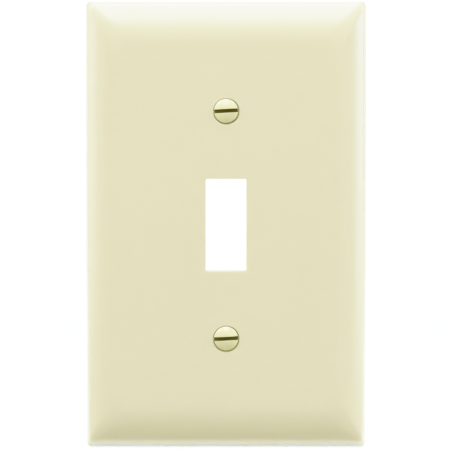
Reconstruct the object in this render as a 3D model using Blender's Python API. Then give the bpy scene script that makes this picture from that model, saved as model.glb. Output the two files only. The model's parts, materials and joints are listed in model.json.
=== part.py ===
"""One-gang toggle wall plate of ivory nylon, with two captive oval-head screws.

Metres, +Z up. The front faces -Y, and the plate's back rim lies on the wall plane y = 0. The
origin is the middle of the toggle opening on that plane. A screw and its retainer disc hang
on an empty in the middle of the screw hole's mouth, whose +Z points out of the front along
the screw's axis. The disc grips the thread, so the screw can turn and float in its hole but
can't fall out.
"""

import math

import bmesh
import bpy
from mathutils import Matrix

MM = 0.001
INCH = 0.0254

# The plate's outline, and the border that falls away from its flat face
PLATE_WIDTH = 2.9375 * INCH
PLATE_HEIGHT = 4.6875 * INCH
PLATE_DEPTH = 5.85 * MM
SHELL = 2.0 * MM
CORNER_RADIUS = 1.4 * MM
CORNER_GROWTH = 0.35  # corner radius gained per unit of inset, going up the border
CROWN_DROP = 2.3 * MM
EDGE_RADIUS = 3.0 * MM
SIDE_SLOPE = math.radians(33)  # the crown's slope where it meets the rounded edge
END_SLOPE = math.radians(25.5)
WALL_DRAFT = math.radians(2)
CORNER_STEPS = 5
EDGE_STEPS = 5
CROWN_STEPS = 6

# The toggle opening, and the collar behind it that stiffens it
OPENING_WIDTH = 10.65 * MM
OPENING_HEIGHT = 24.3 * MM
COLLAR_WALL = 1.5 * MM
COLLAR_CORNER = 1.0 * MM
BEVEL_STEPS = 3

# The back of the plate: bosses and collar end where the switch's strap comes
STRAP_PLANE = 1.7 * MM  # height off the wall
BOSS_RADIUS = 4.8 * MM
RIB_WIDTH = 1.2 * MM
RIB_PLANE = 2.6 * MM
CROSS_RIB_HEIGHT = 12.6 * MM
LONG_RIB_OFFSET = 24.5 * MM
JOIN = 1.0 * MM  # how far a boss, rib or collar runs into what it joins

# The screws, 6-32 x 1/2 in with an 82 degree oval head, and their holes
SCREW_SPACING = 2.375 * INCH
SCREW_LENGTH = 0.5 * INCH  # from the head's edge to the tip
SLOT_TILT = math.radians(3)
HEAD_HALF_ANGLE = math.radians(41)
HEAD_RADIUS = 3.2 * MM
HEAD_RISE = 1.0 * MM
HEAD_LAND = 0.12 * MM
SLOT_WIDTH = 1.0 * MM
SLOT_DEPTH = 1.35 * MM
NECK_RADIUS = 1.55 * MM
NECK_END = 3.4 * MM
THREAD_RADIUS = 0.069 * INCH
THREAD_PITCH = INCH / 32
THREAD_DEPTH = 0.6134 * THREAD_PITCH
SPARE_PITCHES = 2  # how much longer than the thread its helix is drawn, at each end
THREAD_START = 2.9 * MM
THREAD_OVERLAP = 0.2 * MM  # how far the thread's envelope runs into the neck, and past the crest
TIP_CHAMFER = 0.6 * MM
COUNTERSINK_RADIUS = 3.65 * MM
HOLE_RADIUS = 2.1 * MM

# The retainer discs, and the recesses in the bosses that take them in
DISC_RADIUS = 3.1 * MM
DISC_HOLE_RADIUS = 1.85 * MM
DISC_THICKNESS = 0.8 * MM
DISC_CHAMFER = 0.15 * MM
DISC_SLIT_WIDTH = 0.4 * MM
DISC_SLIT_REACH = 2.5 * MM
RECESS_RADIUS = 3.4 * MM
RECESS_FLOOR = STRAP_PLANE + 1.2 * MM
SCREW_FLOAT = 2.5 * MM
STOP_GAP = 0.3 * MM

ROUND_STEPS = 40
THREAD_STEPS = 16
DOME_STEPS = 5
MERGE_DISTANCE = 1e-6
CLEAR = 2.0 * MM  # how far a cutter runs past what it cuts
SMOOTH_BELOW = math.radians(32)


def clear_scene():
    for old in list(bpy.data.objects):
        bpy.data.objects.remove(old, do_unlink=True)


def plain_material(name, colour, roughness, metallic=0.0):
    material = bpy.data.materials.new(name)
    material.use_nodes = True
    shader = material.node_tree.nodes["Principled BSDF"]
    shader.inputs["Base Color"].default_value = (*colour, 1.0)
    shader.inputs["Roughness"].default_value = roughness
    shader.inputs["Metallic"].default_value = metallic
    return material


def finish_mesh(name, shape):
    """Turns a bmesh into a mesh with its faces pointing out."""
    bmesh.ops.recalc_face_normals(shape, faces=shape.faces)
    mesh = bpy.data.meshes.new(name)
    shape.to_mesh(mesh)
    shape.free()
    return mesh


def place(name, mesh, material=None, parent=None):
    thing = bpy.data.objects.new(name, mesh)
    bpy.context.scene.collection.objects.link(thing)
    if material:
        mesh.materials.clear()
        mesh.materials.append(material)
        mesh.shade_smooth()
        mesh.set_sharp_from_angle(angle=SMOOTH_BELOW)
    thing.parent = parent
    return thing


def combined(base, others, operation):
    """The mesh left after a Boolean of base with each of the other meshes in turn."""
    worked = place("worked", base)
    helpers = []
    for number, other in enumerate(others):
        helper = place(f"helper_{number}", other)
        helper.hide_render = True
        helper.display_type = "WIRE"
        modifier = worked.modifiers.new(operation.lower(), "BOOLEAN")
        modifier.operation = operation
        modifier.solver = "EXACT"
        modifier.object = helper
        helpers.append(helper)
    graph = bpy.context.evaluated_depsgraph_get()
    mesh = bpy.data.meshes.new_from_object(worked.evaluated_get(graph))
    for spent in [worked, *helpers]:
        bpy.data.objects.remove(spent, do_unlink=True)
    return mesh


def box(name, width, depth, height, centre, corner=0.0):
    """A box given by its size along X, Y and Z. Its four edges along Y can be rounded."""
    shape = bmesh.new()
    place_it = Matrix.Translation(centre) @ Matrix.Diagonal((width, depth, height, 1.0))
    bmesh.ops.create_cube(shape, size=1.0, matrix=place_it)
    if corner:
        along_y = [e for e in shape.edges if abs(e.verts[0].co.y - e.verts[1].co.y) > depth / 2]
        bmesh.ops.bevel(
            shape, geom=along_y, offset=corner, segments=BEVEL_STEPS, profile=0.5, affect="EDGES"
        )
    return finish_mesh(name, shape)


def turned(name, profile, steps=ROUND_STEPS):
    """A solid of revolution about Z, from the (radius, height) points of its outline."""
    shape = bmesh.new()
    points = [shape.verts.new((radius, 0.0, height)) for radius, height in profile]
    edges = [shape.edges.new(pair) for pair in zip(points, points[1:])]
    bmesh.ops.spin(
        shape,
        geom=points + edges,
        cent=(0, 0, 0),
        axis=(0, 0, 1),
        angle=2 * math.pi,
        steps=steps,
        use_merge=True,
    )
    bmesh.ops.remove_doubles(shape, verts=shape.verts, dist=MERGE_DISTANCE)
    return finish_mesh(name, shape)


# ---------------------------------------------------------------- wall plate


def border_centre(slope):
    """Inset and height of the centre that the rounded edge turns about."""
    height = PLATE_DEPTH - CROWN_DROP - EDGE_RADIUS * math.cos(slope)
    wall_top = height + EDGE_RADIUS * math.sin(WALL_DRAFT)
    inset = wall_top * math.tan(WALL_DRAFT) + EDGE_RADIUS * math.cos(WALL_DRAFT)
    return inset, height


def border_inset(height, slope, offset=0.0):
    """How far in from the rim the border is at a height off the wall.

    The border is a drafted wall, a round edge and a crown that runs out into the flat face.
    An offset gives the parallel surface that far inside it.
    """
    centre_inset, centre_height = border_centre(slope)
    radius = EDGE_RADIUS - offset
    wall_top = centre_height + radius * math.sin(WALL_DRAFT)
    if height <= wall_top:
        wall_inset = centre_inset - radius * math.cos(WALL_DRAFT)
        return wall_inset - (wall_top - height) * math.tan(WALL_DRAFT)
    crown_foot = centre_height + radius * math.cos(slope)
    if height <= crown_foot:
        return centre_inset - math.sqrt(radius**2 - (height - centre_height) ** 2)
    foot_inset = centre_inset - radius * math.sin(slope)
    outer_foot_inset = centre_inset - EDGE_RADIUS * math.sin(slope)
    face_inset = outer_foot_inset + 2 * CROWN_DROP / math.tan(slope)
    top = PLATE_DEPTH - offset
    left = math.sqrt(max(top - height, 0.0) / (top - crown_foot))
    return face_inset - (face_inset - foot_inset) * left


def border_heights(offset=0.0):
    """Heights off the wall at which the border is drawn, from the rim to the flat."""
    centre_height = border_centre(END_SLOPE)[1]
    radius = EDGE_RADIUS - offset
    top = PLATE_DEPTH - offset
    heights = [0.0]
    for step in range(EDGE_STEPS + 1):
        turn = (math.pi / 2 - END_SLOPE - WALL_DRAFT) * step / EDGE_STEPS
        heights.append(centre_height + radius * math.sin(WALL_DRAFT + turn))
    drop = top - heights[-1]
    for step in range(1, CROWN_STEPS + 1):
        heights.append(top - drop * (1 - step / CROWN_STEPS) ** 2)
    return heights


def border_ring(height, offset=0.0):
    """The border's outline (x, z) at a height off the wall, anticlockwise from the front."""
    side = border_inset(height, SIDE_SLOPE, offset)
    end = border_inset(height, END_SLOPE, offset)
    radius = CORNER_RADIUS + CORNER_GROWTH * (side + end) / 2
    middle_x = PLATE_WIDTH / 2 - side - radius
    middle_z = PLATE_HEIGHT / 2 - end - radius
    ring = []
    for corner, (sign_x, sign_z) in enumerate([(1, 1), (-1, 1), (-1, -1), (1, -1)]):
        for step in range(CORNER_STEPS + 1):
            angle = (corner + step / CORNER_STEPS) * math.pi / 2
            x = sign_x * middle_x + radius * math.cos(angle)
            z = sign_z * middle_z + radius * math.sin(angle)
            ring.append((x, z))
    return ring


def stacked(name, layers):
    """A closed solid through a stack of outlines, each at its height off the wall."""
    shape = bmesh.new()
    rings = []
    for height, outline in layers:
        rings.append([shape.verts.new((x, -height, z)) for x, z in outline])
    shape.faces.new(rings[0])
    shape.faces.new(rings[-1])
    for ring, following in zip(rings, rings[1:]):
        for here in range(len(ring)):
            there = here - 1
            shape.faces.new((ring[here], ring[there], following[there], following[here]))
    return finish_mesh(name, shape)


def plate_shell():
    """The bare shell: flat face, crowned border, wall, flat back rim, and the hollow."""
    outside = [(height, border_ring(height)) for height in reversed(border_heights())]
    inside = [(height, border_ring(height, SHELL)) for height in border_heights(SHELL)]
    return stacked("shell", outside + inside)


def inside_of_shell():
    """The space that ribs may fill: the hollow, and the shell's thickness up to their join."""
    offset = SHELL - JOIN
    layers = [(height, border_ring(height, offset)) for height in border_heights(offset)]
    return stacked("core", layers)


def back_block(name, width, height, x, z, end_plane, corner=0.0):
    """A block from the front face back to a plane off the wall."""
    middle = -(PLATE_DEPTH + end_plane) / 2
    return box(name, width, PLATE_DEPTH - end_plane, height, (x, middle, z), corner)


def back_details():
    """Bosses, collar and ribs behind the face, as one mesh."""
    details = []
    boss_outline = [
        (0, PLATE_DEPTH),
        (BOSS_RADIUS, PLATE_DEPTH),
        (BOSS_RADIUS, STRAP_PLANE),
        (0, STRAP_PLANE),
    ]
    for side in (1, -1):
        boss = turned("boss", boss_outline)
        to_axis = Matrix.Translation((0, 0, side * SCREW_SPACING / 2))
        boss.transform(to_axis @ Matrix.Rotation(math.radians(90), 4, "X"))
        details.append(boss)

    collar_width = OPENING_WIDTH + 2 * COLLAR_WALL
    collar_height = OPENING_HEIGHT + 2 * COLLAR_WALL
    details.append(
        back_block("collar", collar_width, collar_height, 0, 0, STRAP_PLANE, COLLAR_CORNER)
    )

    web_bottom = collar_height / 2 - JOIN
    web_top = SCREW_SPACING / 2 - BOSS_RADIUS + JOIN
    cross_start = collar_width / 2 - JOIN
    cross_end = PLATE_WIDTH / 2
    for side in (1, -1):
        web_middle = side * (web_bottom + web_top) / 2
        details.append(
            back_block("web", RIB_WIDTH, web_top - web_bottom, 0, web_middle, RIB_PLANE)
        )
        long_x = side * LONG_RIB_OFFSET
        details.append(back_block("rib", RIB_WIDTH, PLATE_HEIGHT, long_x, 0, RIB_PLANE))
        for level in (CROSS_RIB_HEIGHT, -CROSS_RIB_HEIGHT):
            middle = side * (cross_start + cross_end) / 2
            width = cross_end - cross_start
            details.append(back_block("rib", width, RIB_WIDTH, middle, level, RIB_PLANE))
    joined = combined(details[0], details[1:], "UNION")
    return combined(joined, [inside_of_shell()], "INTERSECT")


def screw_hole(side):
    """What is cut for one screw: countersink, clearance hole and the disc's recess."""
    widening = math.tan(HEAD_HALF_ANGLE)
    cone_end = (COUNTERSINK_RADIUS - HOLE_RADIUS) / widening
    recess_depth = PLATE_DEPTH - RECESS_FLOOR
    back = PLATE_DEPTH + CLEAR
    profile = [
        (0, CLEAR),
        (COUNTERSINK_RADIUS + CLEAR * widening, CLEAR),
        (HOLE_RADIUS, -cone_end),
        (HOLE_RADIUS, -recess_depth),
        (RECESS_RADIUS, -recess_depth),
        (RECESS_RADIUS, -back),
        (0, -back),
    ]
    cutter = turned("hole", profile)
    mouth = Matrix.Translation((0, -PLATE_DEPTH, side * SCREW_SPACING / 2))
    cutter.transform(mouth @ Matrix.Rotation(math.radians(90), 4, "X"))
    return cutter


def wall_plate(material):
    plate = combined(plate_shell(), [back_details()], "UNION")
    opening_depth = PLATE_DEPTH + 2 * CLEAR
    opening = box("opening", OPENING_WIDTH, opening_depth, OPENING_HEIGHT, (0, -PLATE_DEPTH / 2, 0))
    plate = combined(plate, [opening, screw_hole(1), screw_hole(-1)], "DIFFERENCE")
    return place("wall_plate", plate, material)


# -------------------------------------------------------------------- screws


def thread_helix():
    """A threaded rod along Z, drawn longer than the screw's thread at both ends.

    Each column of points winds up by one step of the lead, so the last column meets the
    first one pitch higher. The two ends close on a point on the axis.
    """
    root = THREAD_RADIUS - THREAD_DEPTH
    section = [(0.0, THREAD_RADIUS), (1 / 8, THREAD_RADIUS), (7 / 16, root), (11 / 16, root)]
    per_pitch = len(section)
    bottom = -SCREW_LENGTH - SPARE_PITCHES * THREAD_PITCH
    pitches = math.ceil((SCREW_LENGTH - THREAD_START) / THREAD_PITCH) + 2 * SPARE_PITCHES - 1
    rows = pitches * per_pitch
    shape = bmesh.new()
    columns = []
    for step in range(THREAD_STEPS):
        angle = 2 * math.pi * step / THREAD_STEPS
        column = []
        for row in range(rows):
            part_pitch, radius = section[row % per_pitch]
            turns = row // per_pitch + part_pitch + step / THREAD_STEPS
            height = bottom + turns * THREAD_PITCH
            column.append(
                shape.verts.new((radius * math.cos(angle), radius * math.sin(angle), height))
            )
        columns.append(column)
    for column, following in zip(columns, columns[1:]):
        for row in range(rows - 1):
            corners = (column[row], following[row], following[row + 1], column[row + 1])
            shape.faces.new(corners)
    first, last = columns[0], columns[-1]
    for row in range(rows - 1 - per_pitch):
        up = row + per_pitch
        shape.faces.new((last[row], first[up], first[up + 1], last[row + 1]))

    lower_edge = [column[0] for column in columns] + first[per_pitch:0:-1]
    upper_edge = [column[-1] for column in columns] + last[-2 : -per_pitch - 2 : -1]
    low_point = shape.verts.new((0, 0, bottom - THREAD_PITCH))
    high_point = shape.verts.new((0, 0, bottom + (pitches + SPARE_PITCHES) * THREAD_PITCH))
    for edge, point in ((lower_edge, low_point), (upper_edge, high_point)):
        for here in range(len(edge)):
            shape.faces.new((edge[here - 1], edge[here], point))
    return finish_mesh("helix", shape)


def thread_envelope():
    """The space the thread fills: it runs out at the neck and has a chamfered tip."""
    inside = NECK_RADIUS - THREAD_OVERLAP
    outside = THREAD_RADIUS + THREAD_OVERLAP
    runout = THREAD_START + outside - inside
    tip_radius = THREAD_RADIUS - TIP_CHAMFER
    profile = [
        (0, -THREAD_START),
        (inside, -THREAD_START),
        (outside, -runout),
        (outside, -SCREW_LENGTH + outside - tip_radius),
        (tip_radius, -SCREW_LENGTH),
        (0, -SCREW_LENGTH),
    ]
    return turned("envelope", profile)


def head_outline():
    """Outline of the oval head and the neck under it, from the dome's top to the neck's end."""
    sphere = (HEAD_RADIUS**2 + HEAD_RISE**2) / (2 * HEAD_RISE)
    widest = math.asin(HEAD_RADIUS / sphere)
    outline = []
    for step in range(DOME_STEPS + 1):
        lean = widest * step / DOME_STEPS
        outline.append((sphere * math.sin(lean), HEAD_RISE - sphere * (1 - math.cos(lean))))
    cone_depth = (HEAD_RADIUS - NECK_RADIUS) / math.tan(HEAD_HALF_ANGLE)
    outline.append((HEAD_RADIUS, -HEAD_LAND))
    outline.append((NECK_RADIUS, -HEAD_LAND - cone_depth))
    outline.append((NECK_RADIUS, -NECK_END))
    outline.append((0, -NECK_END))
    return outline


def screw_mesh():
    """A screw with its axis along Z, its head's edge at the origin and its slot along X."""
    thread = combined(thread_helix(), [thread_envelope()], "INTERSECT")
    screw = combined(turned("head", head_outline()), [thread], "UNION")
    slot_bottom = HEAD_RISE - SLOT_DEPTH
    slot_middle = (slot_bottom + CLEAR) / 2
    slot = box("slot", 3 * HEAD_RADIUS, SLOT_WIDTH, CLEAR - slot_bottom, (0, 0, slot_middle))
    return combined(screw, [slot], "DIFFERENCE")


# ----------------------------------------------------------------- retainers


def retainer_mesh():
    """A split disc about Z, its front face in the plane of the origin."""
    inner, outer = DISC_HOLE_RADIUS, DISC_RADIUS
    back = -DISC_THICKNESS
    profile = [
        (inner, -DISC_CHAMFER),
        (inner + DISC_CHAMFER, 0),
        (outer - DISC_CHAMFER, 0),
        (outer, -DISC_CHAMFER),
        (outer, back + DISC_CHAMFER),
        (outer - DISC_CHAMFER, back),
        (inner, back),
        (inner, -DISC_CHAMFER),
    ]
    ring = turned("ring", profile)
    slit_depth = DISC_THICKNESS + 2 * CLEAR
    middle = (0, 0, back / 2)
    across = box("across", 2 * DISC_SLIT_REACH, DISC_SLIT_WIDTH, slit_depth, middle)
    down = box("down", DISC_SLIT_WIDTH, 2 * DISC_SLIT_REACH, slit_depth, middle)
    slits = combined(across, [down], "UNION")
    return combined(ring, [slits], "DIFFERENCE")


# ------------------------------------------------------------------ assembly


def screw_axis(name, side):
    """An empty in the middle of a screw hole's mouth, its +Z out of the front."""
    axis = bpy.data.objects.new(name, None)
    axis.location = (0, -PLATE_DEPTH, side * SCREW_SPACING / 2)
    axis.rotation_euler = (math.radians(90), 0, 0)
    bpy.context.scene.collection.objects.link(axis)
    return axis


def build():
    clear_scene()
    ivory = plain_material("ivory_nylon", (0.75, 0.71, 0.51), 0.32)
    painted = plain_material("ivory_painted_steel", (0.74, 0.70, 0.50), 0.30)
    natural = plain_material("natural_polyethylene", (0.80, 0.80, 0.76), 0.5)

    wall_plate(ivory)

    screw = screw_mesh()
    retainer = retainer_mesh()
    disc_travel_end = PLATE_DEPTH - RECESS_FLOOR + STOP_GAP
    for name, side in (("upper", 1), ("lower", -1)):
        axis = screw_axis(f"{name}_screw_axis", side)
        turned_screw = place(f"{name}_plate_screw", screw, painted, axis)
        turned_screw.rotation_euler.z = SLOT_TILT
        disc = place(f"{name}_screw_retainer", retainer, natural, axis)
        disc.location.z = -disc_travel_end - SCREW_FLOAT


build()
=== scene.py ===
"""The looks of the ivory toggle wall plate: fine meshes, materials, light and camera.

Metres, +Z up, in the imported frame. The plate's front faces -Y and its back rim lies on y = 0,
so a height off the wall is -y. Every mesh is built in place, with its object at the origin.
"""

import json
import math

import bmesh
import bpy
from mathutils import Matrix, Vector


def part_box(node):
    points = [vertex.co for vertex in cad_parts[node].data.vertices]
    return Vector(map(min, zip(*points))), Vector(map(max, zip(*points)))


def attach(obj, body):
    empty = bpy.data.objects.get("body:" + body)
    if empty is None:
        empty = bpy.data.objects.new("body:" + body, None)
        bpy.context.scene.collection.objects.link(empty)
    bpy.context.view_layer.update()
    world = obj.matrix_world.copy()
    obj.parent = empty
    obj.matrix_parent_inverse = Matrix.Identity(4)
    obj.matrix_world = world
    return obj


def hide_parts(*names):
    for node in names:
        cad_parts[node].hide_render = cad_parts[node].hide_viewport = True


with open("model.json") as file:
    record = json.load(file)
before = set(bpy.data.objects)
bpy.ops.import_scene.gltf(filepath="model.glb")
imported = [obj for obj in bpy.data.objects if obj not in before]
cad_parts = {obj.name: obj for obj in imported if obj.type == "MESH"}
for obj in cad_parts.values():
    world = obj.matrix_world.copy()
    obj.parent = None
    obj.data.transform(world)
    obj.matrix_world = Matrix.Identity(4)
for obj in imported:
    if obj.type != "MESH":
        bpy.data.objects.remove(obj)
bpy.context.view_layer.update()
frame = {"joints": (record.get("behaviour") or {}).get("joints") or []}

MM = 0.001

# From the frame: the plate's outline and face, and the axes that the screws turn about
PLATE_LOW, PLATE_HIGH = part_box("wall_plate")
HALF_WIDTH = PLATE_HIGH.x
HALF_HEIGHT = PLATE_HIGH.z
FACE = -PLATE_LOW.y
SCREW_LOW, SCREW_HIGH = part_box("upper_plate_screw")
SCREW_LENGTH = SCREW_HIGH.y + FACE
HEAD_RISE = -SCREW_LOW.y - FACE
DISC_LOW, DISC_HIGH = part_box("upper_screw_retainer")
DISC_FRONT = -DISC_LOW.y
DISC_THICKNESS = DISC_HIGH.y - DISC_LOW.y
SCREW_AXES = {
    joint["child"].split("_")[0]: joint["pos_m"]
    for joint in frame["joints"]
    if joint["type"] == "hinge"
}

# The plate's shell
SHELL = 2.0 * MM
CORNER_RADIUS = 1.4 * MM
CORNER_GROWTH = 0.35  # how much the corners' radius grows for each metre of inset
CROWN_DROP = 2.3 * MM
EDGE_RADIUS = 3.0 * MM
SIDE_SLOPE = math.radians(33)
END_SLOPE = math.radians(25.5)
WALL_DRAFT = math.radians(2)
RIM_ROUND = 0.3 * MM
CORNER_STEPS = 12
EDGE_STEPS = 14
CROWN_STEPS = 22
ROUND_STEPS = 4
BOSS_STEPS = 20
RIB_CORNER_STEPS = 2
SMALL_CORNER_STEPS = 6

# The toggle opening and what stands on the back of the face
OPENING = (5.325 * MM, 12.15 * MM)  # half width, half height
OPENING_CORNER = 0.15 * MM
OPENING_ROUND = 0.22 * MM
COLLAR_WALL = 1.5 * MM
COLLAR_CORNER = 1.0 * MM
STRAP_PLANE = 1.7 * MM  # where the bosses and the collar end, off the wall
BOSS_RADIUS = 4.8 * MM
RIB_WIDTH = 1.2 * MM
RIB_PLANE = 2.6 * MM
CROSS_RIB_HEIGHT = 12.6 * MM
LONG_RIB_OFFSET = 24.5 * MM
JOIN = 1.0 * MM  # how far a part is drawn into the next one that it is joined to
END_ROUND = 0.2 * MM
FILLET = 0.4 * MM
EJECTOR_RADIUS = 1.9 * MM
EJECTOR_DEPTH = 0.08 * MM
EJECTOR_STEPS = 48
EJECTOR_PLACES = [(x * MM, z * MM) for x in (-17, 17) for z in (-42, -22, 22, 42)]
GATE_PLACE = (17 * MM, 0, 0)
GATE_RADIUS = 0.95 * MM
GATE_RISE = 0.3 * MM
GATE_BREAK = [(0.8, 0.7), (0.6, 0.9), (0.2, 0.75), (0.0, 1.0)]  # shares of its radius and rise

# The screw holes and the screws
HEAD_HALF_ANGLE = math.radians(41)
COUNTERSINK_ROUND = 0.12 * MM
COUNTERSINK_STEPS = 8
SEAT_GAP = 0.3 * MM  # between the head's edge and the countersink, across
HOLE_RADIUS = 2.1 * MM
# How far the holes lie off the screws' axes, to the right and up
HOLE_DRIFT = {"upper": (0.1 * MM, -0.2 * MM), "lower": (0.06 * MM, -0.14 * MM)}
RECESS_RADIUS = 3.4 * MM
RECESS_FLOOR = 2.9 * MM
HEAD_RADIUS = 3.2 * MM
DOME_SPHERE = (HEAD_RADIUS**2 + HEAD_RISE**2) / (2 * HEAD_RISE)
HEAD_LAND = 0.12 * MM
HEAD_ROUND = 0.2 * MM
SLOT_HALF_WIDTH = 0.5 * MM
SLOT_DEPTH = 1.35 * MM
SLOT_LIP = 0.08 * MM
SLOT_CORNER = 0.12 * MM
SLOT_OVERRUN = 0.6 * MM
SLOT_STEPS = 40
SLOT_TILT = math.radians(3)
NECK_RADIUS = 1.55 * MM
NECK_END = 3.4 * MM
NECK_FILLET = 0.15 * MM
DOME_STEPS = 16
THREAD_RADIUS = 1.7526 * MM
THREAD_PITCH = 25.4 * MM / 32
THREAD_DEPTH = 0.6134 * THREAD_PITCH  # the inch thread's usual share
THREAD_START = 2.9 * MM
TIP_CHAMFER = 0.6 * MM
THREAD_STEPS = 56
THREAD_OVERLAP = 0.2 * MM  # how far its envelope runs into the neck and past the crest
SPARE_PITCHES = 2  # drawn past the screw's tip, and again into its neck
TURN_STEPS = 96

# The retainer discs
DISC_RADIUS = 3.1 * MM
DISC_HOLE_RADIUS = 1.8 * MM
DISC_RIM_INNER = 2.55 * MM
DISC_WEB = 0.45 * MM
DISC_ROUND = 0.14 * MM
DISC_SLIT_WIDTH = 0.36 * MM
PETAL_BEND = 0.16 * MM

# For every mesh
CLEAR = 2.0 * MM  # how far a cutter reaches past what it cuts
TINY = 0.002 * MM  # keeps two faces from lying in the same plane
MERGE_DISTANCE = 0.0001 * MM
SMOOTH_BELOW = math.radians(30)


# ------------------------------------------------------------- mesh helpers


def finish_mesh(name, shape):
    bmesh.ops.recalc_face_normals(shape, faces=shape.faces)
    mesh = bpy.data.meshes.new(name)
    shape.to_mesh(mesh)
    shape.free()
    return mesh


def place(name, mesh):
    thing = bpy.data.objects.new(name, mesh)
    bpy.context.scene.collection.objects.link(thing)
    return thing


def combined(base, others, operation):
    """The mesh left after a Boolean of base with each of the other meshes in turn."""
    worked = place("worked", base)
    helpers = []
    for number, other in enumerate(others):
        helper = place(f"helper_{number}", other)
        modifier = worked.modifiers.new(operation.lower(), "BOOLEAN")
        modifier.operation = operation
        modifier.solver = "EXACT"
        modifier.object = helper
        helpers.append(helper)
    graph = bpy.context.evaluated_depsgraph_get()
    mesh = bpy.data.meshes.new_from_object(worked.evaluated_get(graph))
    for spent in [worked, *helpers]:
        bpy.data.objects.remove(spent, do_unlink=True)
    return mesh


def rounding(radius, steps=ROUND_STEPS):
    """A quarter round as (depth, growth) pairs, from where it grows most down to none."""
    pairs = []
    for step in range(steps + 1):
        turn = math.pi / 2 * step / steps
        pairs.append((radius * (1 - math.cos(turn)), radius * (1 - math.sin(turn))))
    return pairs


def outline(half_x, half_z, radius, steps=CORNER_STEPS):
    """A rounded rectangle's (x, z) points, anticlockwise from the front."""
    ring = []
    for corner, (sign_x, sign_z) in enumerate([(1, 1), (-1, 1), (-1, -1), (1, -1)]):
        for step in range(steps + 1):
            angle = (corner + step / steps) * math.pi / 2
            x = sign_x * (half_x - radius) + radius * math.cos(angle)
            z = sign_z * (half_z - radius) + radius * math.sin(angle)
            ring.append((x, z))
    return ring


def stacked(name, layers, centre=(0, 0)):
    """A closed solid through a stack of outlines, each at its height off the wall."""
    shape = bmesh.new()
    rings = []
    for height, ring in layers:
        points = [(x + centre[0], -height, z + centre[1]) for x, z in ring]
        rings.append([shape.verts.new(point) for point in points])
    shape.faces.new(rings[0])
    shape.faces.new(rings[-1])
    for ring, following in zip(rings, rings[1:]):
        for here in range(len(ring)):
            there = here - 1
            shape.faces.new((ring[here], ring[there], following[there], following[here]))
    bmesh.ops.remove_doubles(shape, verts=shape.verts, dist=MERGE_DISTANCE)
    return finish_mesh(name, shape)


def turned(name, profile, axis, steps=TURN_STEPS):
    """A solid of revolution, from (radius, height off the wall) points, about a screw's axis."""
    shape = bmesh.new()
    points = [shape.verts.new((radius, -height, 0.0)) for radius, height in profile]
    edges = [shape.edges.new(pair) for pair in zip(points, points[1:])]
    bmesh.ops.spin(
        shape,
        geom=points + edges,
        cent=(0, 0, 0),
        axis=(0, 1, 0),
        angle=2 * math.pi,
        steps=steps,
        use_merge=True,
    )
    bmesh.ops.remove_doubles(shape, verts=shape.verts, dist=MERGE_DISTANCE)
    bmesh.ops.translate(shape, verts=shape.verts, vec=(axis[0], 0.0, axis[2]))
    return finish_mesh(name, shape)


def turned_about_z(name, profile):
    """A solid of revolution about Z, from (radius, z) points."""
    mesh = turned(name, profile, (0, 0, 0))
    mesh.transform(Matrix.Rotation(math.radians(-90), 4, "X"))
    return mesh


def smooth_piece(name, mesh, material, body, node):
    """Puts a finished mesh in the scene, in place of its CAD node."""
    mesh.materials.clear()
    mesh.materials.append(material)
    mesh.shade_smooth()
    mesh.set_sharp_from_angle(angle=SMOOTH_BELOW)
    piece = place(name, mesh)
    weighted = piece.modifiers.new("weighted", "WEIGHTED_NORMAL")
    weighted.keep_sharp = True
    weighted.weight = 100
    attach(piece, body)
    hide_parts(node)
    return piece


# --------------------------------------------------------------- wall plate


def border_centre(slope):
    """Inset and height of the centre that the rounded edge turns about."""
    height = FACE - CROWN_DROP - EDGE_RADIUS * math.cos(slope)
    wall_top = height + EDGE_RADIUS * math.sin(WALL_DRAFT)
    inset = wall_top * math.tan(WALL_DRAFT) + EDGE_RADIUS * math.cos(WALL_DRAFT)
    return inset, height


def border_inset(height, slope, offset=0.0):
    """How far in from the rim the border is at a height off the wall.

    The border is a drafted wall, a round edge and a crown that runs out into the flat face.
    An offset gives the parallel surface that far inside it.
    """
    centre_inset, centre_height = border_centre(slope)
    radius = EDGE_RADIUS - offset
    wall_top = centre_height + radius * math.sin(WALL_DRAFT)
    if height <= wall_top:
        wall_inset = centre_inset - radius * math.cos(WALL_DRAFT)
        return wall_inset - (wall_top - height) * math.tan(WALL_DRAFT)
    crown_foot = centre_height + radius * math.cos(slope)
    if height <= crown_foot:
        return centre_inset - math.sqrt(radius**2 - (height - centre_height) ** 2)
    foot_inset = centre_inset - radius * math.sin(slope)
    outer_foot_inset = centre_inset - EDGE_RADIUS * math.sin(slope)
    face_inset = outer_foot_inset + 2 * CROWN_DROP / math.tan(slope)
    top = FACE - offset
    left = math.sqrt(max(top - height, 0.0) / (top - crown_foot))
    return face_inset - (face_inset - foot_inset) * left


def border_heights(offset=0.0):
    """Heights off the wall at which the border is drawn, from above the rim to the flat."""
    centre_height = border_centre(END_SLOPE)[1]
    radius = EDGE_RADIUS - offset
    top = FACE - offset
    heights = []
    for step in range(EDGE_STEPS + 1):
        turn = (math.pi / 2 - END_SLOPE - WALL_DRAFT) * step / EDGE_STEPS
        heights.append(centre_height + radius * math.sin(WALL_DRAFT + turn))
    drop = top - heights[-1]
    for step in range(1, CROWN_STEPS + 1):
        heights.append(top - drop * (1 - step / CROWN_STEPS) ** 2)
    return heights


def border_layer(height, offset=0.0, shift=0.0):
    """One layer of the border: its height off the wall and its outline, moved in by a shift."""
    side = border_inset(height, SIDE_SLOPE, offset)
    end = border_inset(height, END_SLOPE, offset)
    radius = CORNER_RADIUS + CORNER_GROWTH * (side + end) / 2
    return height, outline(HALF_WIDTH - side - shift, HALF_HEIGHT - end - shift, radius)


def rim_layers(offset, sign):
    """The rounded corner of the back rim. sign is 1 on its outside and -1 on its inside."""
    return [border_layer(depth, offset, sign * grown) for depth, grown in rounding(RIM_ROUND)]


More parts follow.
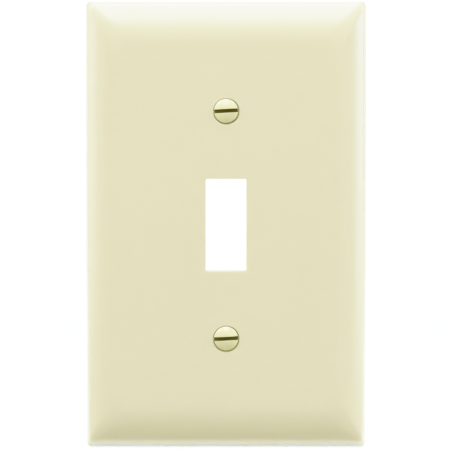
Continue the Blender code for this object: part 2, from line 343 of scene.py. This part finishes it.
def plate_shell():
    """The bare shell: flat face, crowned border, wall, rounded back rim, and the hollow."""
    outside = rim_layers(0.0, 1) + [border_layer(height) for height in border_heights()]
    hollow = [border_layer(height, SHELL) for height in border_heights(SHELL)]
    inside = rim_layers(SHELL, -1) + hollow
    return stacked("shell", outside[::-1] + inside)


def inside_of_shell():
    """The space that ribs may fill: the hollow, and the shell's thickness up to their join."""
    offset = SHELL - JOIN
    heights = [0.0, *border_heights(offset)]
    return stacked("core", [border_layer(height, offset) for height in heights])


def standing(name, half_x, half_z, radius, end_plane, centre, steps=CORNER_STEPS):
    """A block on the back of the face: filleted at its root, rounded at its free end."""
    ceiling = FACE - SHELL
    growths = [(FACE, FILLET), (ceiling + TINY, FILLET)]
    growths += [(ceiling - depth, grown) for depth, grown in rounding(FILLET)]
    growths += [(end_plane + depth, -grown) for depth, grown in rounding(END_ROUND)[::-1]]
    layers = []
    for height, grown in growths:
        corner = max(radius + grown, TINY)
        layers.append((height, outline(half_x + grown, half_z + grown, corner, steps)))
    return stacked(name, layers, centre)


def back_details():
    """Bosses, collar and ribs behind the face, as one mesh."""
    details = []
    for axis in SCREW_AXES.values():
        centre = (axis[0], axis[2])
        details.append(
            standing("boss", BOSS_RADIUS, BOSS_RADIUS, BOSS_RADIUS, STRAP_PLANE, centre, BOSS_STEPS)
        )
    collar = [half + COLLAR_WALL for half in OPENING]
    details.append(standing("collar", *collar, COLLAR_CORNER, STRAP_PLANE, (0, 0)))

    half_rib = RIB_WIDTH / 2
    rib_corner = END_ROUND + TINY
    boss_edge = SCREW_AXES["upper"][2] - BOSS_RADIUS + JOIN
    web_middle = (collar[1] - JOIN + boss_edge) / 2
    web_half = (boss_edge - collar[1] + JOIN) / 2
    cross_start = collar[0] - JOIN
    cross_middle = (cross_start + HALF_WIDTH) / 2
    cross_half = (HALF_WIDTH - cross_start) / 2
    for side in (1, -1):
        places = [
            ("web", half_rib, web_half, (0, side * web_middle)),
            ("long_rib", half_rib, HALF_HEIGHT, (side * LONG_RIB_OFFSET, 0)),
            ("cross_rib", cross_half, half_rib, (side * cross_middle, CROSS_RIB_HEIGHT)),
            ("cross_rib", cross_half, half_rib, (side * cross_middle, -CROSS_RIB_HEIGHT)),
        ]
        for name, half_x, half_z, centre in places:
            details.append(
                standing(name, half_x, half_z, rib_corner, RIB_PLANE, centre, RIB_CORNER_STEPS)
            )
    joined = combined(details[0], details[1:], "UNION")
    return combined(joined, [inside_of_shell()], "INTERSECT")


def opening_cutter():
    """The toggle opening, wider where it meets the face and the collar's end."""
    half_x, half_z = OPENING
    growths = [(FACE + CLEAR, OPENING_ROUND)]
    growths += [(FACE - TINY - depth, grown) for depth, grown in rounding(OPENING_ROUND)]
    growths += [
        (STRAP_PLANE + TINY + depth, grown) for depth, grown in rounding(END_ROUND)[::-1]
    ]
    growths.append((-CLEAR, END_ROUND))
    layers = []
    for height, grown in growths:
        corner = OPENING_CORNER + grown
        ring = outline(half_x + grown, half_z + grown, corner, SMALL_CORNER_STEPS)
        layers.append((height, ring))
    return stacked("opening", layers)


def hole_cutter(axis, drift):
    """Countersink with a rounded mouth, clearance hole, and the recess for the disc.

    The screw floats in its hole, so the hole lies a little off the screw's axis.
    """
    mouth = math.pi / 2 - HEAD_HALF_ANGLE
    seat = HEAD_RADIUS + HEAD_LAND * math.tan(HEAD_HALF_ANGLE) + SEAT_GAP
    start = seat + COUNTERSINK_ROUND * math.tan(mouth / 2)
    profile = [(0, FACE + CLEAR), (start, FACE + CLEAR)]
    for step in range(COUNTERSINK_STEPS + 1):
        turn = mouth * step / COUNTERSINK_STEPS
        radius = start - COUNTERSINK_ROUND * math.sin(turn)
        depth = COUNTERSINK_ROUND * (1 - math.cos(turn))
        profile.append((radius, FACE - TINY - depth))
    cone_depth = (seat - HOLE_RADIUS) / math.tan(HEAD_HALF_ANGLE)
    profile.append((HOLE_RADIUS, FACE - cone_depth))
    profile.append((HOLE_RADIUS, RECESS_FLOOR))
    profile.append((RECESS_RADIUS, RECESS_FLOOR))
    for depth, grown in rounding(END_ROUND)[::-1]:
        profile.append((RECESS_RADIUS + grown, STRAP_PLANE + TINY + depth))
    profile.append((RECESS_RADIUS + END_ROUND, -CLEAR))
    profile.append((0, -CLEAR))
    return turned("hole", profile, (axis[0] + drift[0], 0, axis[2] + drift[1]))


def ejector_marks():
    """Shallow round prints that the mould's ejector pins leave on the back of the face."""
    ceiling = FACE - SHELL
    marks = []
    for x, z in EJECTOR_PLACES:
        profile = [
            (0, ceiling + EJECTOR_DEPTH),
            (EJECTOR_RADIUS - EJECTOR_DEPTH, ceiling + EJECTOR_DEPTH),
            (EJECTOR_RADIUS, ceiling),
            (EJECTOR_RADIUS, ceiling - EJECTOR_DEPTH),
            (0, ceiling - EJECTOR_DEPTH),
        ]
        marks.append(turned("ejector_mark", profile, (x, 0, z), EJECTOR_STEPS))
    return marks


def gate_stub():
    """What is left of the moulding's gate: a low nub broken off on the back of the face."""
    ceiling = FACE - SHELL
    profile = [
        (0, ceiling + JOIN),
        (GATE_RADIUS, ceiling + JOIN),
        (GATE_RADIUS, ceiling),
        *[(out * GATE_RADIUS, ceiling - rise * GATE_RISE) for out, rise in GATE_BREAK],
    ]
    return turned("gate", profile, GATE_PLACE, EJECTOR_STEPS)


def plate_mesh():
    whole = combined(plate_shell(), [back_details(), gate_stub()], "UNION")
    cutters = [opening_cutter(), *ejector_marks()]
    cutters += [hole_cutter(axis, HOLE_DRIFT[side]) for side, axis in SCREW_AXES.items()]
    return combined(whole, cutters, "DIFFERENCE")


# ------------------------------------------------------------------- screws

# The thread's section over one pitch: share of the pitch, and share of the thread's depth
THREAD_SECTION = [
    (0.0, 0.97),
    (0.02, 1.0),
    (0.105, 1.0),
    (0.125, 0.97),
    (0.4, 0.1),
    (0.47, 0.02),
    (0.5625, 0.0),
    (0.655, 0.02),
    (0.725, 0.1),
]


def thread_helix():
    """A threaded rod about Z, drawn longer than the screw's thread at both ends.

    Each column of points winds up by one step of the lead, so the last column meets the
    first one pitch higher. The two ends close on a point on the axis.
    """
    root = THREAD_RADIUS - THREAD_DEPTH
    per_pitch = len(THREAD_SECTION)
    bottom = -SCREW_LENGTH - SPARE_PITCHES * THREAD_PITCH
    pitches = math.ceil((SCREW_LENGTH - THREAD_START) / THREAD_PITCH) + 2 * SPARE_PITCHES - 1
    rows = pitches * per_pitch
    shape = bmesh.new()
    columns = []
    for step in range(THREAD_STEPS):
        angle = 2 * math.pi * step / THREAD_STEPS
        column = []
        for row in range(rows):
            share, full = THREAD_SECTION[row % per_pitch]
            radius = root + full * THREAD_DEPTH
            turns = row // per_pitch + share + step / THREAD_STEPS
            height = bottom + turns * THREAD_PITCH
            column.append(
                shape.verts.new((radius * math.cos(angle), radius * math.sin(angle), height))
            )
        columns.append(column)
    for column, following in zip(columns, columns[1:]):
        for row in range(rows - 1):
            corners = (column[row], following[row], following[row + 1], column[row + 1])
            shape.faces.new(corners)
    first, last = columns[0], columns[-1]
    for row in range(rows - 1 - per_pitch):
        up = row + per_pitch
        shape.faces.new((last[row], first[up], first[up + 1], last[row + 1]))

    lower_edge = [column[0] for column in columns] + first[per_pitch:0:-1]
    upper_edge = [column[-1] for column in columns] + last[-2 : -per_pitch - 2 : -1]
    low_point = shape.verts.new((0, 0, bottom - THREAD_PITCH))
    high_point = shape.verts.new((0, 0, bottom + (pitches + SPARE_PITCHES) * THREAD_PITCH))
    for edge, point in ((lower_edge, low_point), (upper_edge, high_point)):
        for here in range(len(edge)):
            shape.faces.new((edge[here - 1], edge[here], point))
    return finish_mesh("helix", shape)


def screw_place(axis):
    """Takes a screw modelled about Z, its head's edge at the origin, to its place."""
    mouth = Matrix.Translation((axis[0], -FACE, axis[2]))
    return mouth @ Matrix.Rotation(math.radians(90), 4, "X")


def thread_envelope():
    """The space the thread fills: it runs out at the neck and has a chamfered tip."""
    inside = NECK_RADIUS - THREAD_OVERLAP
    outside = THREAD_RADIUS + THREAD_OVERLAP
    runout = THREAD_START + outside - inside
    tip_radius = THREAD_RADIUS - TIP_CHAMFER
    profile = [
        (0, -THREAD_START),
        (inside, -THREAD_START),
        (outside, -runout),
        (outside, -SCREW_LENGTH + outside - tip_radius),
        (tip_radius, -SCREW_LENGTH + TINY),
        (0, -SCREW_LENGTH + TINY),
    ]
    return turned_about_z("envelope", profile)


def dome_height(distance):
    """Height of the oval head's dome above the head's edge, at a distance from its axis."""
    return HEAD_RISE - DOME_SPHERE + math.sqrt(DOME_SPHERE**2 - distance**2)


def head_profile():
    """Outline of the oval head and its neck, from the dome's top to the neck's end.

    The enamel rounds the head's edge, in an arc that leaves the dome smoothly.
    """
    edge_centre = HEAD_RADIUS - HEAD_ROUND
    reach = DOME_SPHERE - HEAD_ROUND
    lean = math.asin(edge_centre / reach)
    edge_height = HEAD_RISE - DOME_SPHERE + reach * math.cos(lean)
    profile = []
    for step in range(DOME_STEPS):
        distance = DOME_SPHERE * math.sin(lean) * step / DOME_STEPS
        profile.append((distance, dome_height(distance)))
    for step in range(EDGE_STEPS + 1):
        turn = lean + (math.pi / 2 - lean) * step / EDGE_STEPS
        radius = edge_centre + HEAD_ROUND * math.sin(turn)
        profile.append((radius, edge_height + HEAD_ROUND * math.cos(turn)))
    cone_depth = (HEAD_RADIUS - NECK_RADIUS) / math.tan(HEAD_HALF_ANGLE)
    profile += [
        (HEAD_RADIUS, -HEAD_LAND),
        (NECK_RADIUS + NECK_FILLET, -HEAD_LAND - cone_depth + NECK_FILLET),
        (NECK_RADIUS, -HEAD_LAND - cone_depth - NECK_FILLET),
        (NECK_RADIUS, -NECK_END),
        (0, -NECK_END),
    ]
    return profile


def slot_cutter():
    """The screwdriver slot, along X. Its lips are rounded, so it widens where it meets the dome."""
    reach = HEAD_RADIUS + SLOT_OVERRUN
    bottom = HEAD_RISE - SLOT_DEPTH
    shape = bmesh.new()
    sections = []
    for step in range(SLOT_STEPS + 1):
        x = reach * (2 * step / SLOT_STEPS - 1)
        lip = dome_height(min(math.hypot(x, SLOT_HALF_WIDTH), HEAD_RADIUS))
        half = [
            (SLOT_HALF_WIDTH - SLOT_CORNER, bottom),
            (SLOT_HALF_WIDTH, bottom + SLOT_CORNER),
        ]
        for depth, grown in rounding(SLOT_LIP)[::-1]:
            half.append((SLOT_HALF_WIDTH + grown, lip - depth))
        half.append((SLOT_HALF_WIDTH + SLOT_LIP, HEAD_RISE + CLEAR))
        section = half + [(-y, z) for y, z in reversed(half)]
        sections.append([shape.verts.new((x, y, z)) for y, z in section])
    shape.faces.new(sections[0])
    shape.faces.new(sections[-1])
    for section, following in zip(sections, sections[1:]):
        for here in range(len(section)):
            there = here - 1
            corners = (section[here], section[there], following[there], following[here])
            shape.faces.new(corners)
    return finish_mesh("slot", shape)


def screw_mesh(name, axis):
    thread = combined(thread_helix(), [thread_envelope()], "INTERSECT")
    screw = combined(turned_about_z("head", head_profile()), [thread], "UNION")
    screw = combined(screw, [slot_cutter()], "DIFFERENCE")
    screw.transform(screw_place(axis) @ Matrix.Rotation(SLOT_TILT, 4, "Z"))
    screw.name = name
    return screw


# ---------------------------------------------------------------- retainers


def disc_side(face, petal, web, sign):
    """One side of the disc's section, from its hole to its rim. sign is 1 on the front."""
    lip = DISC_ROUND / 2
    return [
        (DISC_HOLE_RADIUS, petal - sign * lip),
        (DISC_HOLE_RADIUS + lip, petal),
        (DISC_RIM_INNER - lip, web),
        (DISC_RIM_INNER, web + sign * lip / 2),
        (DISC_RIM_INNER + lip / 2, face - sign * lip),
        (DISC_RIM_INNER + lip, face),
        *[(DISC_RADIUS - grown, face - sign * depth) for depth, grown in rounding(DISC_ROUND)],
    ]


def retainer_mesh(name, axis):
    """A push-on disc: a thick rim, and a thin web split into petals that bend back."""
    front, back = DISC_FRONT, DISC_FRONT - DISC_THICKNESS
    web_front = front - (DISC_THICKNESS - DISC_WEB) / 2
    web_back = web_front - DISC_WEB
    front_side = disc_side(front, web_front - PETAL_BEND, web_front, 1)
    back_side = disc_side(back, web_back - PETAL_BEND, web_back, -1)
    ring = turned("ring", front_side + back_side[::-1] + front_side[:1], axis)

    reach = DISC_RIM_INNER - DISC_ROUND
    half_slit = DISC_SLIT_WIDTH / 2
    slits = []
    for half_x, half_z in ((reach, half_slit), (half_slit, reach)):
        slit = outline(half_x, half_z, half_slit - TINY, SMALL_CORNER_STEPS)
        layers = [(front + CLEAR, slit), (back - CLEAR, slit)]
        slits.append(stacked("slit", layers, (axis[0], axis[2])))
    cross = combined(slits[0], [slits[1]], "UNION")
    disc = combined(ring, [cross], "DIFFERENCE")
    disc.name = name
    return disc


# ---------------------------------------------------------------- materials

# Which sockets of a Mix node are its colours
COLOUR_INPUTS = (6, 7)
COLOUR_OUTPUT = 2

NOISE_MIDDLE = (0.3, 0.7)  # where nearly all of a noise's values lie

IVORY = (0.773, 0.648, 0.334)
IVORY_DEEP = (0.769, 0.642, 0.327)
# Painted shade: a darker olive ivory in the countersinks round the screw heads, standing for their
# shadow
COUNTERSINK_SHADE = (0.58, 0.51, 0.19)
ENAMEL = (0.785, 0.668, 0.292)
ENAMEL_DEEP = (0.755, 0.633, 0.262)
ZINC = (0.66, 0.66, 0.64)
ZINC_DULL = (0.47, 0.47, 0.46)
# Painted shade: dark olive brown deep in the screw slots, standing for the shadow there
SLOT_SHADE = (0.175, 0.145, 0.008)
NATURAL = (0.82, 0.82, 0.78)
NATURAL_DEEP = (0.76, 0.76, 0.70)
PAPER = (0.6, 0.6, 0.6)
PAPER_FIBRE = (0.59, 0.59, 0.585)
PAPER_BOUNCE = (0.41, 0.4, 0.28)


class Finish:
    """A Principled material in the frame's metres, and short calls that add its nodes."""

    def __init__(self, name):
        self.material = bpy.data.materials.new(name)
        self.material.use_nodes = True
        self.tree = self.material.node_tree
        self.surface = self.tree.nodes["Principled BSDF"]
        self.position = self.add("ShaderNodeTexCoord").outputs["Object"]
        self.relief = None

    def feed(self, socket, value):
        if isinstance(value, bpy.types.NodeSocket):
            self.tree.links.new(value, socket)
        else:
            socket.default_value = value

    def add(self, kind, inputs=(), **settings):
        """Adds a node with its settings, and feeds its inputs in order."""
        node = self.tree.nodes.new(kind)
        for setting, value in settings.items():
            setattr(node, setting, value)
        for socket, value in zip(node.inputs, inputs):
            if value is not None:
                self.feed(socket, value)
        return node

    def noise(self, size, detail=2.0, stretch=(1, 1, 1)):
        """Smooth noise from 0 to 1, with features of about this size."""
        position = self.position
        if stretch != (1, 1, 1):
            scaled = self.add("ShaderNodeMapping", [position])
            scaled.inputs["Scale"].default_value = stretch
            position = scaled.outputs[0]
        texture = self.add("ShaderNodeTexNoise", [position])
        texture.inputs["Scale"].default_value = 1 / size
        texture.inputs["Detail"].default_value = detail
        return texture.outputs["Fac"]

    def calculate(self, operation, first, second=0.0, third=0.0):
        """A number worked out from others. MULTIPLY_ADD is first x second + third."""
        worked = self.add("ShaderNodeMath", [first, second, third], operation=operation)
        return worked.outputs[0]

    def span(self, value, low, high, start=0.0, end=1.0):
        """Maps low..high onto start..end, smoothly, and holds it there outside them."""
        mapped = self.add(
            "ShaderNodeMapRange", [value, low, high, start, end], interpolation_type="SMOOTHSTEP"
        )
        return mapped.outputs[0]

    def blend(self, share, first, second):
        """A colour that goes from the first to the second, given as RGB or as sockets."""
        mixed = self.add("ShaderNodeMix", [share], data_type="RGBA")
        for number, colour in zip(COLOUR_INPUTS, (first, second)):
            self.feed(mixed.inputs[number], (*colour, 1.0) if isinstance(colour, tuple) else colour)
        return mixed.outputs[COLOUR_OUTPUT]

    def mix(self, share, first, second):
        """A number that goes from the first to the second."""
        mixed = self.add("ShaderNodeMix", [share, None, first, second], data_type="FLOAT")
        return mixed.outputs[0]

    def raise_by(self, height, depth):
        """Adds relief: a height from 0 to 1 that stands for this depth in metres."""
        bump = self.add("ShaderNodeBump")
        bump.inputs["Distance"].default_value = depth
        self.feed(bump.inputs["Height"], height)
        if self.relief is not None:
            self.feed(bump.inputs["Normal"], self.relief)
        self.relief = bump.outputs[0]

    def done(self, **inputs):
        """Feeds the surface's inputs, named with _ for a space, and gives the material."""
        if self.relief is not None:
            inputs["Normal"] = self.relief
        for name, value in inputs.items():
            self.feed(self.surface.inputs[name.replace("_", " ")], value)
        return self.material


# Ivory nylon. A pair is where something starts and where it is full, or a low and a high value.
# How deep in the countersinks their painted shade starts and where it is full
COUNTERSINK_SHADE_DEPTH = (0.05 * MM, 0.2 * MM)
BACK_LEAN = (0.15, 0.6)  # how far a normal leans back
FRONT_ROUGHNESS = (0.28, 0.32)
BACK_ROUGHNESS = 0.42
SPECK_ROUGHNESS = 0.1
HAIRLINE_STRETCH = (1, 1, 0.06)
HAIRLINES = (0.62, 0.78)
HAIRLINE_ROUGHNESS = 0.05
SPECK_SHARE = 0.35
WAVE_RELIEF = 0.03 * MM
SPECK_RELIEF = 0.004 * MM
SPARK_RELIEF = 0.02 * MM


def countersink_shade_part(finish):
    """Where painted shade goes: 1 on the countersinks under the screws' heads, and 0 on the rest of
    the plate.
    """
    mirrored = finish.add("ShaderNodeVectorMath", [finish.position], operation="ABSOLUTE")
    flat = finish.add(
        "ShaderNodeVectorMath", [mirrored.outputs[0], (1, 0, 1)], operation="MULTIPLY"
    )
    hole = (0, 0, SCREW_AXES["upper"][2])
    away = finish.add("ShaderNodeVectorMath", [flat.outputs[0], hole], operation="DISTANCE")
    near = finish.span(away.outputs["Value"], HEAD_RADIUS + 2 * SEAT_GAP, HEAD_RADIUS + SEAT_GAP)
    parts = finish.add("ShaderNodeSeparateXYZ", [finish.position])
    sunk = finish.span(parts.outputs["Y"], *[depth - FACE for depth in COUNTERSINK_SHADE_DEPTH])
    return finish.calculate("MULTIPLY", near, sunk)


def ivory_nylon():
    """Satin moulded nylon: polished in front, duller behind, with painted shade in the
    countersinks.
    """
    finish = Finish("ivory_nylon")
    flow = finish.noise(28 * MM, 3.0)
    speck = finish.noise(1.1 * MM, 3.0)
    shade = finish.mix(SPECK_SHARE, flow, speck)
    clean = finish.blend(finish.span(shade, *NOISE_MIDDLE), IVORY, IVORY_DEEP)
    # The countersinks are darkened with painted shade
    colour = finish.blend(countersink_shade_part(finish), clean, COUNTERSINK_SHADE)

    geometry = finish.add("ShaderNodeNewGeometry")
    facing = finish.add("ShaderNodeSeparateXYZ", [geometry.outputs["Normal"]])
    behind = finish.span(facing.outputs["Y"], *BACK_LEAN)
    handled = finish.span(finish.noise(12 * MM, 2.0), *NOISE_MIDDLE, *FRONT_ROUGHNESS)
    scratched = finish.noise(0.8 * MM, 2.0, HAIRLINE_STRETCH)
    hairline = finish.span(scratched, *HAIRLINES, 0.0, HAIRLINE_ROUGHNESS)
    front = finish.calculate("ADD", handled, hairline)
    dull = finish.calculate("MULTIPLY_ADD", speck, SPECK_ROUGHNESS, BACK_ROUGHNESS)

    finish.raise_by(finish.noise(14 * MM, 1.0), WAVE_RELIEF)
    finish.raise_by(speck, SPECK_RELIEF)
    sparked = finish.calculate("MULTIPLY", finish.noise(0.45 * MM, 2.0), behind)
    finish.raise_by(sparked, SPARK_RELIEF)
    return finish.done(
        Base_Color=colour,
        Roughness=finish.mix(behind, front, dull),
        IOR=1.53,
        Subsurface_Weight=0.12,
        Subsurface_Radius=(1.0, 0.8, 0.45),
        Subsurface_Scale=1.2 * MM,
    )


# Ivory enamel, with the same kind of pairs
RAGGED_EDGE = (-0.04 * MM, 0.05 * MM)
BARE_DEPTH = (0.14 * MM, 0.26 * MM)  # under the dome
PLATED_DEPTH = (0.42 * MM, 0.55 * MM)  # behind the plate's face
ENAMEL_ROUGHNESS = (0.16, 0.24)
ZINC_ROUGHNESS = (0.3, 0.48)
ZINC_CLOUDS = (0.35, 0.7)
PAINT_RELIEF = 0.012 * MM
ENAMEL_THICKNESS = 0.02 * MM
USUAL_SPECULAR = 0.5
# Weaker gloss in the slot, to go with its painted shade
SLOT_SHADE_SPECULAR = 0.1


def ivory_enamel(name, axis):
    """Ivory enamel baked on a screw's dome, zinc plate below it, and painted shade in the slot."""
    finish = Finish(name)
    centre = (axis[0], -FACE - HEAD_RISE + DOME_SPHERE, axis[2])
    away = finish.add("ShaderNodeVectorMath", [finish.position, centre], operation="DISTANCE")
    under = finish.calculate("SUBTRACT", DOME_SPHERE, away.outputs["Value"])
    parts = finish.add("ShaderNodeSeparateXYZ", [finish.position])
    inward = finish.calculate("ADD", parts.outputs["Y"], FACE)

    ragged = finish.span(finish.noise(0.35 * MM, 3.0), *NOISE_MIDDLE, *RAGGED_EDGE)
    plated = finish.span(finish.calculate("ADD", inward, ragged), *PLATED_DEPTH)
    slotted = finish.span(finish.calculate("ADD", under, ragged), *BARE_DEPTH)
    bare = finish.calculate("MAXIMUM", slotted, plated)
    # The slot's walls, under the dome and in front of the plate, where painted shade goes
    slot_shade = finish.calculate("SUBTRACT", bare, plated)

    mottle = finish.noise(1.4 * MM, 3.0)
    enamel = finish.blend(finish.span(mottle, *NOISE_MIDDLE), ENAMEL, ENAMEL_DEEP)
    clouds = finish.span(finish.noise(0.5 * MM, 4.0), *ZINC_CLOUDS)
    zinc = finish.blend(clouds, ZINC, ZINC_DULL)
    # The slot gets painted shade over its enamel and zinc
    colour = finish.blend(slot_shade, finish.blend(bare, enamel, zinc), SLOT_SHADE)

    gloss = finish.span(mottle, *NOISE_MIDDLE, *ENAMEL_ROUGHNESS)
    satin = finish.span(finish.noise(0.4 * MM, 3.0), *NOISE_MIDDLE, *ZINC_ROUGHNESS)
    finish.raise_by(finish.noise(0.7 * MM, 2.0), PAINT_RELIEF)
    finish.raise_by(finish.calculate("SUBTRACT", 1.0, bare), ENAMEL_THICKNESS)
    return finish.done(
        Base_Color=colour,
        Roughness=finish.mix(bare, gloss, satin),
        Metallic=plated,
        IOR=1.52,
        Specular_IOR_Level=finish.mix(slot_shade, USUAL_SPECULAR, SLOT_SHADE_SPECULAR),
    )


DISC_ROUGHNESS = (0.42, 0.55)
CLOUD_RELIEF = 0.02 * MM
GRAIN_RELIEF = 0.006 * MM


def natural_polyethylene():
    """Soft waxy white polyethylene that lets some light through."""
    finish = Finish("natural_polyethylene")
    cloud = finish.noise(1.6 * MM, 3.0)
    grain = finish.noise(0.25 * MM, 2.0)
    finish.raise_by(cloud, CLOUD_RELIEF)
    finish.raise_by(grain, GRAIN_RELIEF)
    return finish.done(
        Base_Color=finish.blend(finish.span(cloud, *NOISE_MIDDLE), NATURAL, NATURAL_DEEP),
        Roughness=finish.span(grain, *NOISE_MIDDLE, *DISC_ROUGHNESS),
        IOR=1.51,
        Subsurface_Weight=0.35,
        Subsurface_Radius=(1.0, 1.0, 0.9),
        Subsurface_Scale=1.0 * MM,
    )


# The floor, and the strip of it that the plate's bottom edge mirrors
PAPER_GLOW = 0.95
FIBRE_RELIEF = 0.05 * MM
STRIP_START = (-6.2 * MM, -4.2 * MM)
STRIP_FADE = (-3.6 * MM, -1.6 * MM)
STRIP_GLOW = 6.0
STRIP_LEFT = 0.58  # share of the glow that is left behind the fade
STRIP_TINT = (0.82, 1.0, 1.32)


def pale_floor():
    """Pale paper. It glows under the plate's edge, where only the plate's gloss sees it."""
    finish = Finish("pale_floor")
    path = finish.add("ShaderNodeLightPath")
    seen = path.outputs["Is Camera Ray"]
    fibre = finish.span(finish.noise(1.5 * MM, 4.0), *NOISE_MIDDLE)
    paper = finish.blend(fibre, PAPER, PAPER_FIBRE)
    parts = finish.add("ShaderNodeSeparateXYZ", [finish.position])
    starting = finish.span(parts.outputs["Y"], *STRIP_START, 0.0, STRIP_GLOW)
    fading = finish.span(parts.outputs["Y"], *STRIP_FADE, 1.0, STRIP_LEFT)
    strip = finish.calculate("MULTIPLY", starting, fading)
    mirrored = finish.calculate("MULTIPLY", strip, path.outputs["Is Glossy Ray"])
    glow = finish.calculate("MULTIPLY_ADD", seen, PAPER_GLOW, mirrored)
    finish.raise_by(fibre, FIBRE_RELIEF)
    return finish.done(
        Base_Color=finish.blend(seen, PAPER_BOUNCE, paper),
        Roughness=0.8,
        Specular_IOR_Level=0.2,
        Emission_Color=finish.blend(seen, STRIP_TINT, (1.0, 1.0, 1.0)),
        Emission_Strength=glow,
    )


# ----------------------------------------------------------------- assembly

smooth_piece(
    "moulded_plate", plate_mesh(), ivory_nylon(), "plate", "wall_plate"
)
soft_white = natural_polyethylene()
for side, axis in SCREW_AXES.items():
    smooth_piece(
        f"{side}_oval_screw",
        screw_mesh(f"{side}_oval_screw", axis),
        ivory_enamel(f"{side}_ivory_enamel", axis),
        f"{side}_screw",
        f"{side}_plate_screw",
    )
    smooth_piece(
        f"{side}_push_on_disc",
        retainer_mesh(f"{side}_push_on_disc", axis),
        soft_white,
        f"{side}_retainer",
        f"{side}_screw_retainer",
    )


# ------------------------------------------------------------ light and camera

BOX_DISTANCE = 1200 * MM
BOX_SIZE = 600 * MM
FAINTLY_COOL = (0.94, 0.985, 1.08)
COOL = (0.85, 0.95, 1.22)
COOLER = (0.79, 0.94, 1.36)
WARM = (1.04, 1.0, 0.88)
# Softboxes: degrees from the front towards +X, degrees up, how bright each looks, and tint
SOFTBOXES = {
    "overhead": (0, 80, 7.4, COOLER),
    "overhead_front": (0, 50, 5.2, COOLER),
    "upper_left": (-54, 42, 5.4, COOLER),
    "upper_right": (60, 43, 2.6, COOLER),
    "front_left": (-48, 8, 0.65, WARM),
    "front_right": (28, 20, 0.9, WARM),
    "left": (-76, 8, 5.0, COOL),
    "right": (75, 10, 7.6, COOLER),
    "back_left": (-125, 8, 3.7, FAINTLY_COOL),
    "back_right": (122, 12, 3.7, FAINTLY_COOL),
    "back": (180, 44, 6.0, FAINTLY_COOL),
}
AMBIENT = 0.08
WHITE = 2.0  # what the tone curve turns into full white
TONE_CURVE = ((0.7, 0.7), (1.0, 0.885), (1.4, 0.965))  # light, and how bright it is shown
COMBINED_CURVE = 3  # after those of red, green and blue

CAMERA_DISTANCE = 700 * MM
CAMERA_TILT = math.radians(1.5)
AIM = (-0.27 * MM, -0.18 * MM)  # right and up from the middle of the plate
VIEW_WIDTH = 120.19 * MM  # of what the picture shows in the plate's plane
SENSOR = 36.0
NEAREST = 10 * MM

FLOOR_REACH = 600 * MM


def studio_lights():
    for name, (azimuth, elevation, strength, tint) in SOFTBOXES.items():
        across, up = math.radians(azimuth), math.radians(elevation)
        towards = Vector(
            (math.sin(across) * math.cos(up), -math.cos(across) * math.cos(up), math.sin(up))
        )
        light = bpy.data.lights.new(name, "AREA")
        light.size = BOX_SIZE
        light.energy = strength * math.pi * BOX_SIZE**2
        light.color = tint
        box = bpy.data.objects.new(name, light)
        box.location = towards * BOX_DISTANCE
        box.rotation_euler = towards.to_track_quat("Z", "Y").to_euler()
        bpy.context.scene.collection.objects.link(box)


def white_world():
    """White to the camera, and a faint even light to everything else."""
    world = bpy.data.worlds.new("white_studio")
    world.use_nodes = True
    tree = world.node_tree
    path = tree.nodes.new("ShaderNodeLightPath")
    strength = tree.nodes.new("ShaderNodeMapRange")
    strength.inputs["To Min"].default_value = AMBIENT
    strength.inputs["To Max"].default_value = WHITE
    tree.links.new(path.outputs["Is Camera Ray"], strength.inputs["Value"])
    tree.links.new(strength.outputs[0], tree.nodes["Background"].inputs["Strength"])
    tree.nodes["Background"].inputs["Color"].default_value = (1, 1, 1, 1)
    bpy.context.scene.world = world


def front_camera():
    """A long lens that looks a little down onto the face."""
    data = bpy.data.cameras.new("camera")
    data.sensor_width = SENSOR
    data.lens = SENSOR * CAMERA_DISTANCE / VIEW_WIDTH
    data.clip_start = NEAREST
    camera = bpy.data.objects.new("camera", data)
    towards = Vector((0, -math.cos(CAMERA_TILT), math.sin(CAMERA_TILT)))
    camera.location = Vector((AIM[0], 0, AIM[1])) + towards * CAMERA_DISTANCE
    camera.rotation_euler = (math.radians(90) - CAMERA_TILT, 0, 0)
    bpy.context.scene.collection.objects.link(camera)
    bpy.context.scene.camera = camera


def soft_highlights():
    """Standard colours with a soft shoulder, so that highlights pale instead of clipping."""
    view = bpy.context.scene.view_settings
    view.view_transform = "Standard"
    view.use_curve_mapping = True
    curve = view.curve_mapping.curves[COMBINED_CURVE]
    view.curve_mapping.white_level = (WHITE, WHITE, WHITE)
    for light, shown in TONE_CURVE:
        curve.points.new(light / WHITE, shown)
    view.curve_mapping.update()


def paper_floor():
    """The floor that the plate stands on."""
    shape = bmesh.new()
    bmesh.ops.create_grid(shape, x_segments=1, y_segments=1, size=FLOOR_REACH)
    floor = place("floor", finish_mesh("floor", shape))
    floor.location.z = PLATE_LOW.z
    floor.data.materials.append(pale_floor())


paper_floor()
studio_lights()
white_world()
front_camera()
soft_highlights()

bpy.context.view_layer.update()
